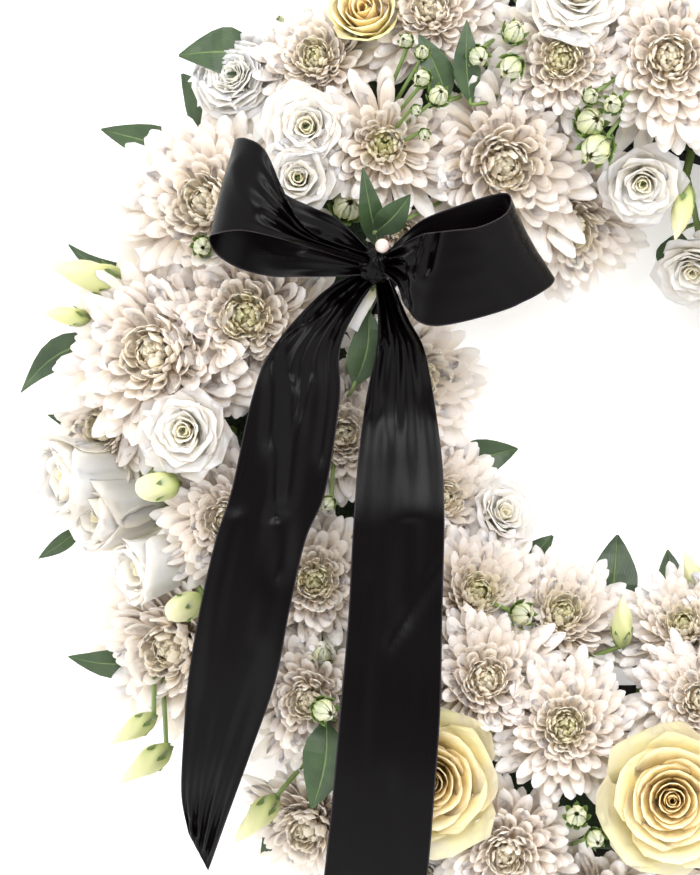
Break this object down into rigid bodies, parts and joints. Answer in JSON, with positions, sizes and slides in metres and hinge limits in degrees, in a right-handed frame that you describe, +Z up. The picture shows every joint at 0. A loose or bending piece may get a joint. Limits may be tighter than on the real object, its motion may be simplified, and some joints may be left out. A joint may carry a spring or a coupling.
{
  "type": "funeral_wreath",
  "caption": "Round funeral wreath of white chrysanthemums, cream roses and lisianthus on a floral foam tray, with a black satin ribbon bow and tails.",
  "frame": {"origin": "middle of the ring, on the flat underside of the foam tray", "axes": "+Z up out of the tray towards the flowers' faces; +Y towards the side above the bow; +X to the right of someone who looks down on it with the ribbon's tails towards them"},
  "size_m": [0.6203, 0.616, 0.158],
  "materials": {
    "tray_plastic": "moulded black plastic, satin, fine grain",
    "wet_foam": "water-soaked phenolic floral foam, very dark green, open pores",
    "satin_ribbon": "double-faced black satin with a woven edge, soft sheen along the folds",
    "pearl": "pearlised bead on a steel pin, soft gloss",
    "chrysanthemum_petals": "matt white petals, warm cream to yellow-green in the heart",
    "rose_petals": "soft cream-yellow petals, greenish on the outermost ones",
    "lisianthus_petals": "thin white ruffled petals, silky",
    "carnation_petals": "thin white petals with toothed edges",
    "green_leaves": "smooth waxy leaves, pale veins, half gloss"
  },
  "bodies": {
    "root": {"wreath_tray": "tray_plastic", "floral_foam": "wet_foam", "pearl_pin": "pearl", "bow_knot": "satin_ribbon", "bow_loop_left": "satin_ribbon", "bow_loop_right": "satin_ribbon", "ribbon_tail_left": "satin_ribbon", "ribbon_tail_right": "satin_ribbon", "chrysanthemum_1": "chrysanthemum_petals", "chrysanthemum_2": "chrysanthemum_petals", "chrysanthemum_3": "chrysanthemum_petals", "chrysanthemum_4": "chrysanthemum_petals", "chrysanthemum_5": "chrysanthemum_petals", "chrysanthemum_6": "chrysanthemum_petals", "chrysanthemum_7": "chrysanthemum_petals", "chrysanthemum_8": "chrysanthemum_petals", "chrysanthemum_9": "chrysanthemum_petals", "chrysanthemum_10": "chrysanthemum_petals", "chrysanthemum_11": "chrysanthemum_petals", "chrysanthemum_12": "chrysanthemum_petals", "chrysanthemum_13": "chrysanthemum_petals", "chrysanthemum_14": "chrysanthemum_petals", "chrysanthemum_15": "chrysanthemum_petals", "chrysanthemum_16": "chrysanthemum_petals", "chrysanthemum_17": "chrysanthemum_petals", "chrysanthemum_18": "chrysanthemum_petals", "chrysanthemum_19": "chrysanthemum_petals", "chrysanthemum_20": "chrysanthemum_petals", "chrysanthemum_21": "chrysanthemum_petals", "chrysanthemum_22": "chrysanthemum_petals", "rose_1": "rose_petals", "rose_2": "rose_petals", "rose_3": "rose_petals", "rose_4": "rose_petals", "rose_5": "rose_petals", "lisianthus_1": "lisianthus_petals", "lisianthus_2": "lisianthus_petals", "lisianthus_3": "lisianthus_petals", "lisianthus_4": "lisianthus_petals", "lisianthus_5": "lisianthus_petals", "lisianthus_6": "lisianthus_petals", "lisianthus_7": "lisianthus_petals", "lisianthus_8": "lisianthus_petals", "lisianthus_9": "lisianthus_petals", "lisianthus_10": "lisianthus_petals", "lisianthus_11": "lisianthus_petals", "carnation_1": "carnation_petals", "carnation_2": "carnation_petals", "leaf_sprig_1": "green_leaves", "leaf_sprig_2": "green_leaves", "leaf_sprig_3": "green_leaves", "leaf_sprig_4": "green_leaves", "leaf_sprig_5": "green_leaves", "leaf_sprig_6": "green_leaves", "leaf_sprig_7": "green_leaves", "leaf_sprig_8": "green_leaves", "leaf_sprig_9": "green_leaves", "leaf_sprig_10": "green_leaves", "leaf_sprig_11": "green_leaves", "leaf_sprig_12": "green_leaves"}
  },
  "joints": []
}
